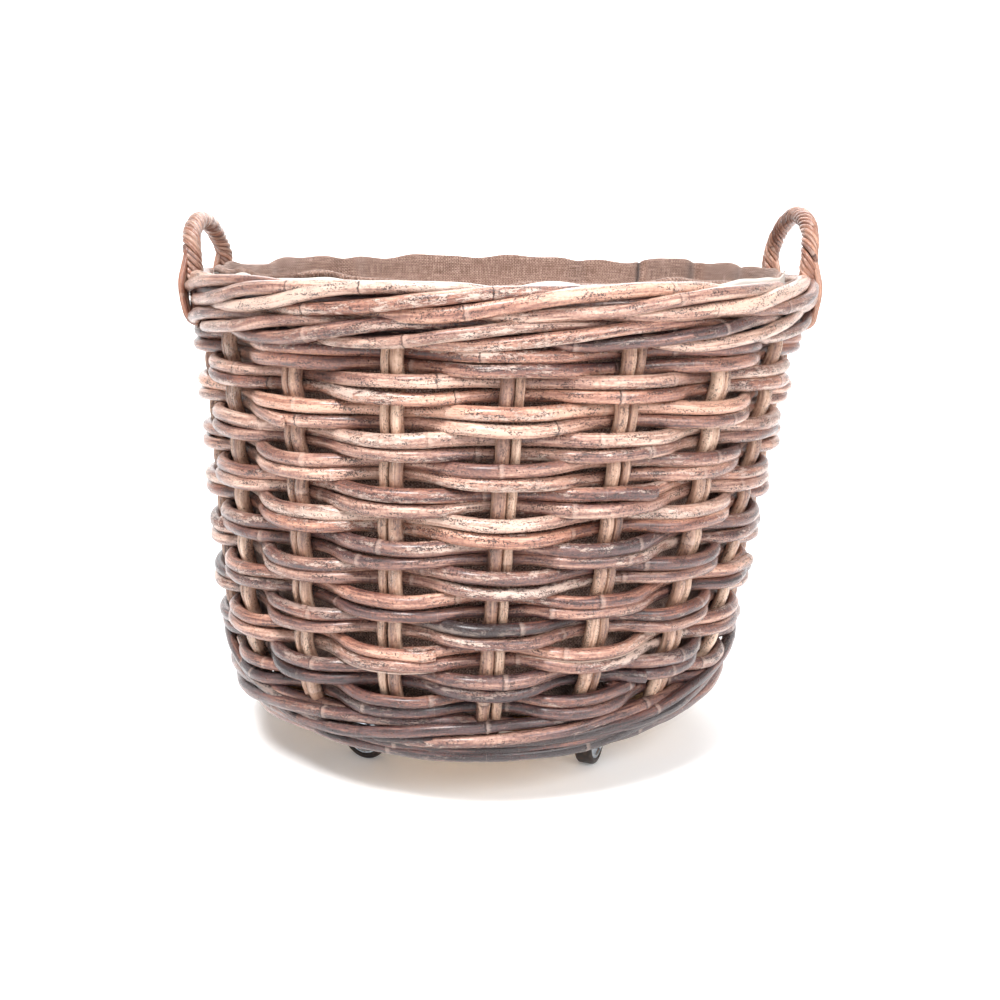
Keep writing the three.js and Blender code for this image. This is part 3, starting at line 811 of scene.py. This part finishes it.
# Upright folds in the cloth: angle in degrees, depth in mm, width in degrees, and the strength of
# the shade painted into their creases
FOLDS = [
    (143, 5.0, 0.8, 1.0),
    (126, 5.0, 1.6, 0.4),
    (108, 4.0, 2.4, 0.2),
    (158, 4.0, 2.6, 0.16),
    (-140, 5.0, 2.8, 0.16),
    (-112, 4.0, 3.0, 0.1),
    (80, 3.0, 3.0, 0.1),
    (-62, 3.0, 3.0, 0.1),
    (35, 2.5, 3.0, 0.0),
    (-20, 2.5, 3.0, 0.0),
]


def around(theta, centre):
    """The angle from centre to theta, in degrees, between -180 and 180."""
    return (np.degrees(theta) - centre + 180) % 360 - 180


def cloth_waves(theta, z, seed):
    """How far the cloth stands out from its smooth shape, at an angle and a height."""
    rng = np.random.default_rng(seed)
    loose = np.clip((z - 90) / 200, 0.1, 1)
    total = np.zeros(np.broadcast(theta, z).shape)
    for turns, size in ((3, 1.1), (5, 1.1), (8, 1.0), (13, 0.9), (21, 0.6)):
        skew = rng.uniform(-0.004, 0.004)
        total = total + size * np.sin(turns * theta + rng.uniform(0, TAU) + skew * z * turns)
    for centre, depth, width, _ in FOLDS:
        bend = around(theta + 0.0004 * (RIM_TOP - z), centre)
        total = total - depth * np.exp(-((bend / width) ** 2))
    return total * loose


def flare(z):
    """How far the cloth leans out over the border's inner side, near its top."""
    t = np.clip((z - 444) / 26, 0, 1)
    return 8.5 * t * t * (3 - 2 * t)


def edge_height(theta, front, back, seed):
    """The uneven top edge of the cloth, higher at the back than at the front."""
    rng = np.random.default_rng(seed)
    rear = 0.5 - 0.5 * np.cos(theta)
    z = front + (back - front) * rear
    for turns, size in ((4, 1.0), (7, 1.3), (11, 1.4), (17, 1.3), (29, 0.8)):
        z = z + size * np.sin(turns * theta + rng.uniform(0, TAU))
    for centre, depth, width, _ in FOLDS[:5]:
        z = z - 0.5 * depth * np.exp(-((around(theta, centre + width) / width) ** 2))
    return z


FLOOR_RINGS = 12


def cloth_mesh(name, theta, radius, z, closed_floor):
    """A sheet from rows of points; its own width and height go with it, for the weave, with painted
    shade for the folds' creases.
    """
    rows, cols = z.shape
    points = on_wall(theta, radius, z).reshape(-1, 3)
    i = np.arange(rows - 1)[:, None] * cols
    j = np.arange(cols)[None, :]
    k = (j + 1) % cols
    quads = np.stack([i + j, i + k, i + cols + k, i + cols + j], axis=-1).reshape(-1, 4)
    faces = quads.tolist()
    step = np.diff(np.stack([radius, z], axis=-1), axis=0)
    up = np.concatenate([np.zeros((1, cols)), np.cumsum(np.hypot(step[..., 0], step[..., 1]), 0)])
    # The third number is painted shade in the folds' creases, strongest along their middles
    crease_shade = 0 * z
    for centre, _, width, painted_shade in FOLDS:
        bend = around(theta + 0.0004 * (RIM_TOP - z), centre + 1.2 * width)
        crease_shade = crease_shade + painted_shade * np.exp(-((bend / (0.8 * width)) ** 2))
    weave = np.stack([theta * CLOTH_RADIUS * MM + 0 * z, up * MM, crease_shade], axis=-1)
    weave = weave.reshape(-1, 3)
    if closed_floor:
        flat = FLOOR_RINGS * cols
        weave[:flat] = points[:flat] * (MM, MM, 0)
        middle = on_wall(0, 0, z[0].mean())[None]
        points = np.vstack([points, middle])
        faces += [[rows * cols, (a + 1) % cols, a] for a in range(cols)]
        weave = np.vstack([weave, [[0, 0, 0]]])
    mesh = bpy.data.meshes.new(name)
    mesh.from_pydata((points * MM).tolist(), [], faces)
    give(mesh, "cloth", weave)
    return mesh


def thicken(piece, thickness):
    solid = piece.modifiers.new("thickness", "SOLIDIFY")
    solid.thickness = thickness * MM
    solid.offset = 0
    return piece


def make_liner():
    cols = 720
    theta = np.linspace(0, TAU, cols, endpoint=False)[None, :]
    floor = BOARD_TOP + 1.8
    top = edge_height(theta, RIM_TOP - 1.5, RIM_TOP + 9.0, 41)
    top = top + 3.5 * np.exp(-((around(theta, -35) / 22) ** 2))
    t = np.linspace(0, 1, 46)[:, None] ** 0.92
    z = floor + 3 + (top - floor - 3) * t
    base = wall_radius(z) - LINER_IN - 1.6
    radius = base + cloth_waves(theta, z, 42) + flare(z) - 0.8
    # The floor, in rings from near the middle out to the wall
    rings = np.linspace(0.12, 0.985, FLOOR_RINGS)[:, None]
    floor_z = floor + 0.5 * np.sin(5 * theta + 9 * rings) * rings + 0 * theta
    z = np.vstack([floor_z, z])
    radius = np.vstack([rings * radius[0], radius])
    # The top edge rolls outwards
    edge_radius, edge_z = radius[-1:], z[-1:]
    for out, up in ((1.4, 1.0), (2.8, 0.6), (3.6, -1.2), (3.8, -4.0)):
        radius = np.vstack([radius, edge_radius + out])
        z = np.vstack([z, edge_z + up])
    mesh = cloth_mesh("liner_sheet", theta, radius, z, True)
    bag = settle("liner_sheet", mesh, hessian, "basket", "hessian", "hessian_liner")
    thicken(bag, LINER_THICK)
    # The hem is sewn round the liner's outside and shows above the border
    edge = edge_height(theta, RIM_TOP - 1.4, RIM_TOP + 2.0, 43)
    edge = edge + 2.6 * np.exp(-((around(theta, 62) / 22) ** 2))
    rows = np.linspace(0, 1, 14)[:, None]
    z = 436 + (edge - 436) * rows
    radius = wall_radius(z) - LINER_IN + cloth_waves(theta, z, 42) + flare(z) + 3.2
    mesh = cloth_mesh("hem_sheet", theta, radius, z, False)
    band = settle("hem_sheet", mesh, hem, "basket", "hem_cloth", "liner_hem")
    thicken(band, HEM_THICK)
    return bag, band


def fray():
    """Loose threads along the liner's raw front edge."""
    threads = Canes(51)
    rng = threads.rng
    for _ in range(420):
        theta = rng.normal(-0.62, 0.22) if rng.random() < 0.7 else rng.uniform(-1.2, 1.3)
        top = float(edge_height(theta, RIM_TOP + 1.0, RIM_TOP + 4.0, 43))
        r = float(wall_radius(top)) - LINER_IN + float(flare(top)) + 2.6
        r += float(cloth_waves(np.array([theta]), np.array([top]), 42)[0])
        size = rng.uniform(1.2, 3.6)
        side = rng.uniform(-1, 1) * size / 280
        points = [
            on_wall(theta, r, top - 2.0),
            on_wall(theta + side * 0.2, r + rng.uniform(0, 0.8), top + size * 0.3),
            on_wall(
                theta + side * 0.6, r + rng.uniform(0, 2.2), top + size * rng.uniform(0.4, 0.7)
            ),
            on_wall(theta + side, r + rng.uniform(0, 3.6), top + size * rng.uniform(0.3, 1.0)),
        ]
        threads.add(smooth_line(points, 1.2), 0.13, 0.1, sides=4, joint=400, rough=0)
    return threads.make("liner_fray", handle, "basket", "hessian")


# Castors


def castor_place(angle):
    a = math.radians(angle)
    x = CASTOR_CIRCLE * math.sin(a) + float(lean_at(BOARD_BOTTOM))
    return x, -CASTOR_CIRCLE * math.cos(a)


def lathe(name, outline, place, segments=48):
    """Turns a closed outline of (radius, distance along the axis) points; place puts them."""
    outline = np.asarray(outline, float)
    m = len(outline)
    a = TAU * np.arange(segments)[:, None] / segments
    local = np.stack(
        [outline[:, 0] * np.cos(a), outline[:, 0] * np.sin(a), outline[:, 1] + 0 * a], axis=-1
    )
    i = np.arange(segments)[:, None] * m
    j = np.arange(m)[None, :]
    nxt = ((np.arange(segments)[:, None] + 1) % segments) * m
    k = (j + 1) % m
    quads = np.stack([i + j, nxt + j, nxt + k, i + k], axis=-1).reshape(-1, 4)
    mesh = bpy.data.meshes.new(name)
    mesh.from_pydata((place(local.reshape(-1, 3)) * MM).tolist(), [], quads.tolist())
    return mesh


def rounded(outline, radius, steps=3):
    """The outline with its corners cut to small arcs."""
    p = np.asarray(outline, float)
    out = []
    for i in range(len(p)):
        before, here, after = p[i - 1], p[i], p[(i + 1) % len(p)]
        u, v = before - here, after - here
        reach = min(radius, 0.45 * np.linalg.norm(u), 0.45 * np.linalg.norm(v))
        a, b = here + unit(u) * reach, here + unit(v) * reach
        for t in np.linspace(0, 1, steps + 1):
            out.append((1 - t) ** 2 * a + 2 * t * (1 - t) * here + t**2 * b)
    return np.array(out)


def plate_mesh(name, outline, low, high, place):
    """A flat plate with rounded edges: outline in (x, z), from y = low to y = high."""
    p = np.asarray(outline, float)
    centre = p.mean(0)
    layers = []
    edge = 0.5
    for y, shrink in ((low, edge), (low + edge, 0), (high - edge, 0), (high, edge)):
        away = unit(p - centre)
        q = p - away * shrink
        layers.append(np.stack([q[:, 0], np.full(len(q), y), q[:, 1]], axis=-1))
    n = len(p)
    verts = np.vstack(layers)
    faces = [list(range(n))[::-1], list(range(3 * n, 4 * n))]
    for layer in range(3):
        for a in range(n):
            b = (a + 1) % n
            faces.append([layer * n + a, layer * n + b, (layer + 1) * n + b, (layer + 1) * n + a])
    mesh = bpy.data.meshes.new(name)
    mesh.from_pydata((place(verts) * MM).tolist(), [], faces)
    return mesh


def flat_shade(piece, degrees=35):
    """Smooth where the surface turns slowly, sharp at its corners."""
    mesh = piece.data
    mesh.update()
    limit = math.radians(degrees)
    normals = [p.normal for p in mesh.polygons]
    owners = {}
    for p in mesh.polygons:
        for key in p.edge_keys:
            owners.setdefault(key, []).append(p.index)
    for edge in mesh.edges:
        both = owners.get(edge.key, [])
        if len(both) == 2 and normals[both[0]].angle(normals[both[1]], 0) > limit:
            edge.use_edge_sharp = True


def relook(node, material):
    """Gives a carried-over CAD node its material."""
    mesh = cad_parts[node].data
    mesh.materials.clear()
    mesh.materials.append(material)


def joined(name, meshes):
    """One mesh of several."""
    verts, faces, base = [], [], 0
    for mesh in meshes:
        verts += [v.co[:] for v in mesh.vertices]
        faces += [[base + i for i in p.vertices] for p in mesh.polygons]
        base += len(mesh.vertices)
        bpy.data.meshes.remove(mesh)
    out = bpy.data.meshes.new(name)
    out.from_pydata(verts, [], faces)
    return out


CASTOR_TRAIL = 16.0  # from the king pin to the axle
GAP = 0.4  # between the board and a castor's plate
PLATE_THICK = 2.5
PLATE_BOTTOM = BOARD_BOTTOM - GAP - PLATE_THICK
PLATE_SCREW = 23.0  # from the plate's middle to its screws, both ways


def make_castor(name, angle, swivel):
    x0, y0 = castor_place(angle)
    turn = math.radians(swivel)
    cos, sin = math.cos(turn), math.sin(turn)
    trail = CASTOR_TRAIL

    def castor(p):
        """From the castor's own frame, king pin at the origin and wheel towards +X."""
        x, y, z = p[:, 0], p[:, 1], p[:, 2]
        return np.stack([x0 + x * cos - y * sin, y0 + x * sin + y * cos, z], axis=-1)

    def axle(p):
        """From the wheel's own frame, its axle along Z."""
        return castor(np.stack([p[:, 0] + trail, -p[:, 2], p[:, 1] + AXLE_HEIGHT], axis=-1))

    roller, fork_body = f"castor_roller_{name}", f"castor_swivel_{name}"
    tyre = [(18.6, -8.2), (20.5, -8.8), (23, -8.4), (24.6, -6.4), (AXLE_HEIGHT, -3.5)]
    tyre += [(AXLE_HEIGHT, 3.5), (24.6, 6.4), (23, 8.4), (20.5, 8.8), (18.6, 8.2)]
    mesh = lathe(f"tyre_{name}", rounded(tyre, 0.6, 2), axle, 64)
    settle(f"tyre_{name}", mesh, rubber, roller, "castor_wheel", f"castor_wheel_{name}")
    hub = [(3.5, -8.9), (7.5, -8.9), (8.6, -7.0), (15.2, -5.8), (16.8, -8.4), (18.5, -8.4)]
    hub += [(18.5, 8.4), (16.8, 8.4), (15.2, 5.8), (8.6, 7.0), (7.5, 8.9), (3.5, 8.9)]
    mesh = lathe(f"hub_{name}", rounded(hub, 0.7, 2), axle, 64)
    settle(f"hub_{name}", mesh, zinc, roller, "zinc_steel", f"castor_wheel_{name}")

    # Fork: a pressed crown, and two legs that narrow to the axle
    bottom, top, inner, thick = 50.8, 57.6, 10.2, 2.5
    crown = [(4.6, bottom), (16.5, bottom), (19.8, top - 3.4), (17, top), (4.6, top)]
    parts = [lathe("crown", rounded(crown, 0.9), castor)]
    around_axle = np.radians(np.linspace(180, 360, 13))
    leg = [(-12, bottom + 1)]
    leg += [(trail + 8 * math.cos(a), AXLE_HEIGHT + 8 * math.sin(a)) for a in around_axle]
    leg += [(trail + 3.5, bottom - 6), (trail + 1, bottom + 1)]
    leg += [(trail - 2, top - 2), (-12, top - 2)]
    for low in (-inner - thick, inner):
        parts.append(plate_mesh("leg", leg, low, low + thick, castor))
    fork = settle(
        f"fork_{name}", joined("fork", parts), zinc, fork_body, "zinc_steel", f"castor_fork_{name}"
    )
    flat_shade(fork)

    # Axle: a bolt head on one side and a nut on the other
    shank = inner + thick + 0.4

    def to_axle(p):
        return axle(np.stack([p[:, 0], p[:, 2], p[:, 1]], axis=-1))

    def hexagon(low, high):
        corners = [(4.9 * math.cos(a), 4.9 * math.sin(a)) for a in np.arange(6) * TAU / 6]
        return plate_mesh("hex", rounded(corners, 0.5, 1), low, high, to_axle)

    rod = [(0.01, -shank - 1), (2.9, -shank - 1), (2.9, shank + 1), (0.01, shank + 1)]
    parts = [lathe("rod", rod, axle, 24), hexagon(-shank - 2, -shank), hexagon(shank, shank + 2)]
    bolt = settle(
        f"axle_bolt_{name}", joined("bolt", parts), zinc, fork_body, "zinc_steel",
        f"castor_axle_{name}",
    )
    flat_shade(bolt)

    # Screws through the plate's corners
    relook(f"castor_plate_{name}", zinc)
    facing = math.radians(angle)
    parts = []
    dome = [(0.01, -2.4), (2.0, -2.3), (3.6, -1.4), (4.2, 0.1), (0.01, 0.1)]
    for u, v in ((-1, -1), (1, -1), (1, 1), (-1, 1)):
        px = x0 + PLATE_SCREW * (u * math.cos(facing) - v * math.sin(facing))
        py = y0 + PLATE_SCREW * (u * math.sin(facing) + v * math.cos(facing))
        parts.append(lathe("screw", dome, lambda p: p + np.array([px, py, PLATE_BOTTOM]), 20))
    heads = joined("screws", parts)
    settle(f"screws_{name}", heads, zinc, "basket", "zinc_steel")


for row in range(ROWS):
    weave_row(row)
for i in range(STAKES):
    stake_rods(i)
make_plaits()
for side in HANDLES:
    make_handle(*side)
bag, band = make_liner()
loose = fray()
for castor in CASTORS:
    make_castor(*castor)
relook("base_board", plywood)

# Studio


def backdrop_look():
    """Nearly white, and a little bright by itself so that shadows stay faint."""
    look = Look("backdrop_look", Roughness=0.8, Specular_IOR_Level=0.2, Emission_Strength=0.18)
    look.set("Emission Color", (1.0, 1.0, 1.0, 1.0))
    cloud = look.noise(look.place(), scale=1.5, detail=1)
    shades = [(0.93 * part, 0.93 * part, 0.93 * part, 1.0) for part in (1.0, 0.99)]
    look.set("Base Color", look.mix(cloud, *shades))
    return look.material


def make_backdrop():
    """A pale floor that sweeps up into a wall far behind."""
    verts, faces = [], []
    line = [(-8.0, 0.0), (4.5, 0.0)]
    for a in np.radians(np.arange(10, 91, 10)):
        line.append((4.5 + 2 * math.sin(a), 2 - 2 * math.cos(a)))
    line.append((6.5, 7.0))
    for y, z in line:
        verts += [(-9.0, y, z), (9.0, y, z)]
    for i in range(len(line) - 1):
        faces.append([2 * i, 2 * i + 1, 2 * i + 3, 2 * i + 2])
    mesh = bpy.data.meshes.new("backdrop")
    mesh.from_pydata(verts, [], faces)
    mesh.polygons.foreach_set("use_smooth", [True] * len(mesh.polygons))
    mesh.materials.append(backdrop_look())
    backdrop = bpy.data.objects.new("backdrop", mesh)
    bpy.context.scene.collection.objects.link(backdrop)


def soft_light(name, place, aim, size, power):
    """A rectangular lamp. Places and sizes are in metres, the power in watts."""
    lamp = bpy.data.lights.new(name, "AREA")
    lamp.shape = "RECTANGLE"
    lamp.size, lamp.size_y = size
    lamp.energy = power
    lamp.color = (1.0, 0.99, 0.99)
    light = bpy.data.objects.new(name, lamp)
    aim = Vector(aim) - Vector(place)
    light.rotation_euler = aim.to_track_quat("-Z", "Y").to_euler()
    light.location = place
    bpy.context.scene.collection.objects.link(light)


CAMERA_PLACE = (0.001, -1.300, 0.519)
CAMERA_PITCH = 0.213
CAMERA_ROLL = 0.011
CAMERA_LENS = 44.69


def make_camera():
    data = bpy.data.cameras.new("camera")
    data.lens = CAMERA_LENS
    data.sensor_width = 36.0
    data.clip_end = 50.0
    camera = bpy.data.objects.new("camera", data)
    spin = Matrix.Rotation(math.pi / 2 - CAMERA_PITCH, 4, "X")
    roll = Matrix.Rotation(CAMERA_ROLL, 4, "Z")
    camera.matrix_world = Matrix.Translation(CAMERA_PLACE) @ spin @ roll
    bpy.context.scene.collection.objects.link(camera)
    bpy.context.scene.camera = camera


def make_world():
    world = bpy.data.worlds.new("world")
    world.use_nodes = True
    background = world.node_tree.nodes["Background"]
    background.inputs[0].default_value = (1.0, 1.0, 1.0, 1.0)
    background.inputs[1].default_value = 0.38
    bpy.context.scene.world = world
    bpy.context.scene.view_settings.view_transform = "Standard"


make_backdrop()
make_world()
soft_light("key", (-0.8, -1.6, 2.9), (0, 0, 0.2), (0.9, 0.9), 122)
soft_light("fill", (1.3, -1.9, 1.6), (0, 0, 0.1), (1.4, 1.0), 50)
soft_light("back", (0.3, 1.6, 2.4), (0, 0, 0.4), (2.0, 1.0), 40)
soft_light("backdrop_light", (0, 3.2, 4.5), (0, 6.5, 2.0), (4.0, 1.0), 420)
make_camera()
